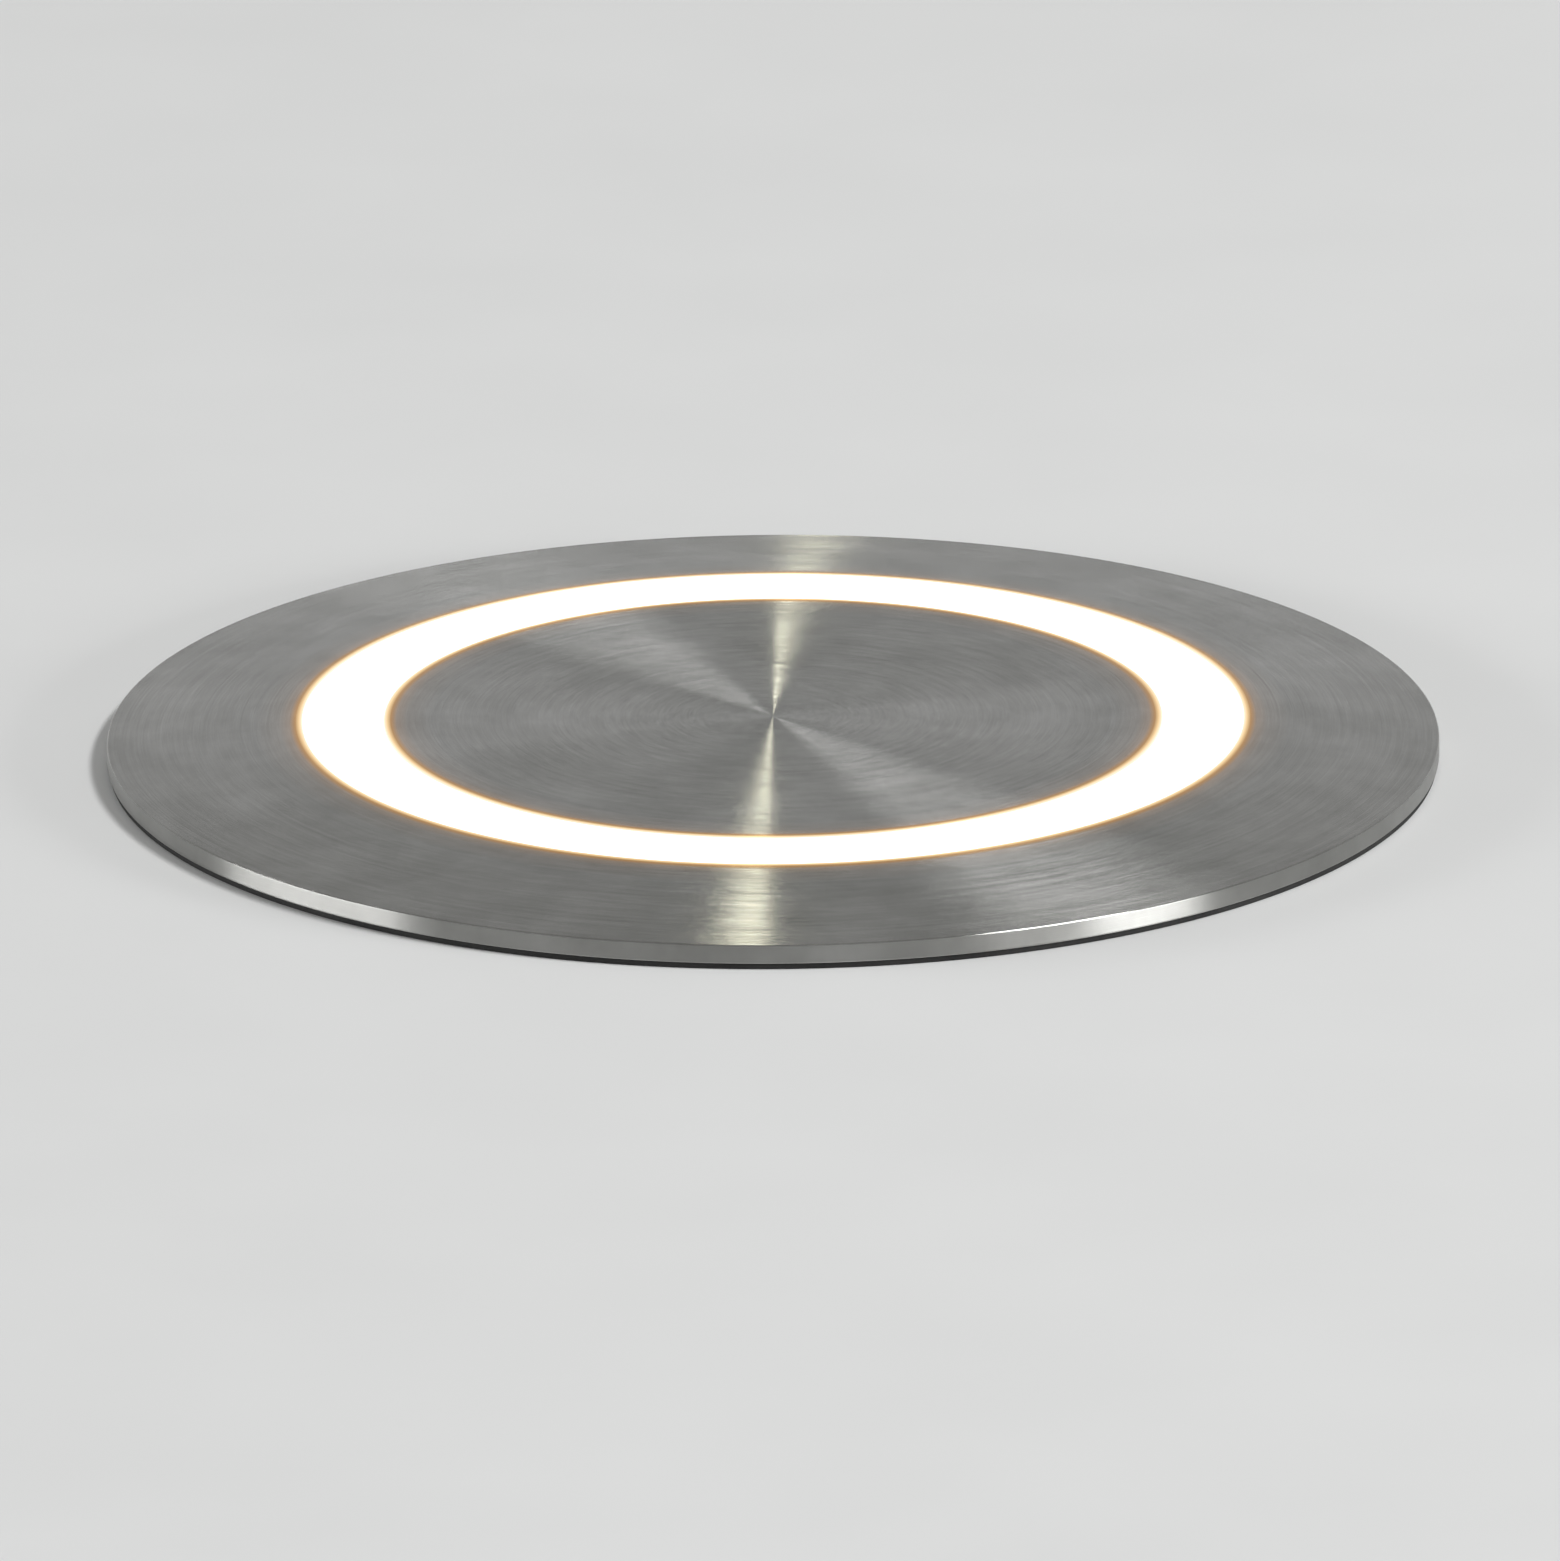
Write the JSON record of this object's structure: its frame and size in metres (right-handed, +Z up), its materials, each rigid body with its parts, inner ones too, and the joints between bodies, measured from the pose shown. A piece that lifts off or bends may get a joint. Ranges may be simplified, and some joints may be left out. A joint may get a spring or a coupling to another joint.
{
  "type": "in ground well light",
  "caption": "Round flush in-ground light: turned stainless face with a lit opal ring, sealed housing and sprung clips in a buried sleeve.",
  "frame": {"origin": "on the vertical axis at finished ground level, which is the sleeve's lip and the underside of the ground gasket", "axes": "+Z up out of the ground; the sprung clips lie on +X and -X, the conduit entries on +Y and -Y"},
  "size_m": [0.11, 0.11, 0.0987],
  "materials": {
    "turned_stainless": "fine concentric turned grain, satin",
    "opal": "opal, glows evenly when lit",
    "black_rubber": "matt",
    "cast_aluminium": "die-cast, bead-blasted",
    "machined_aluminium": "machined",
    "black_polymer": "moulded, fine texture",
    "white_polymer": "moulded white",
    "white_board": "white solder mask on aluminium",
    "phosphor": "yellow phosphor",
    "lead_sheath": "smooth",
    "green_board": "green solder mask",
    "ferrite": "matt",
    "can_sleeve": "shrunk sleeve",
    "chip_resin": "moulded",
    "terminal_polymer": "moulded",
    "nickel_brass": "nickel plated",
    "zinc_steel": "bright zinc",
    "spring_steel": "rolled, slightly oiled"
  },
  "bodies": {
    "sleeve": {"mounting_sleeve": "black_polymer"},
    "luminaire": {"ground_gasket": "black_rubber", "trim_ring": "turned_stainless", "centre_disc": "turned_stainless", "diffuser": "opal", "lens_gasket": "black_rubber", "stud_sealing_washer": "black_rubber", "stud_nut": "zinc_steel", "housing": "cast_aluminium", "reflector": "white_polymer", "led_board": "white_board", "led_chips": "phosphor", "led_lead": "lead_sheath", "driver_board": "green_board", "driver_inductor": "ferrite", "driver_capacitors": "can_sleeve", "driver_chips": "chip_resin", "terminal_block": "terminal_polymer", "driver_spacers": "white_polymer", "base_gasket": "black_rubber", "base_cover": "machined_aluminium", "base_screws": "zinc_steel", "gland_body": "nickel_brass", "gland_locknut": "nickel_brass", "gland_seal": "black_rubber", "gland_cap_nut": "nickel_brass", "clip_brackets": "zinc_steel", "clip_screws": "zinc_steel", "clip_pins": "zinc_steel", "clip_springs": "spring_steel"},
    "clip_right": {"clip_leaf_right": "spring_steel"},
    "clip_left": {"clip_leaf_left": "spring_steel"}
  },
  "joints": [
    {"name": "luminaire_lift", "type": "slide", "parent": "sleeve", "child": "luminaire", "axis": [0, 0, 1], "range_m": [0, 0.045]},
    {"name": "clip_right_hinge", "type": "hinge", "parent": "luminaire", "child": "clip_right", "pos_m": [0.03965, 0, -0.02], "axis": [0, 1, 0], "range_deg": [0, 10], "stiffness_Nm_per_rad": 0.05, "springref_deg": -20.05, "deforming": ["clip_springs"]},
    {"name": "clip_left_hinge", "type": "hinge", "parent": "luminaire", "child": "clip_left", "pos_m": [-0.03965, 0, -0.02], "axis": [0, -1, 0], "range_deg": [0, 10], "stiffness_Nm_per_rad": 0.05, "springref_deg": -20.05, "deforming": ["clip_springs"]}
  ]
}
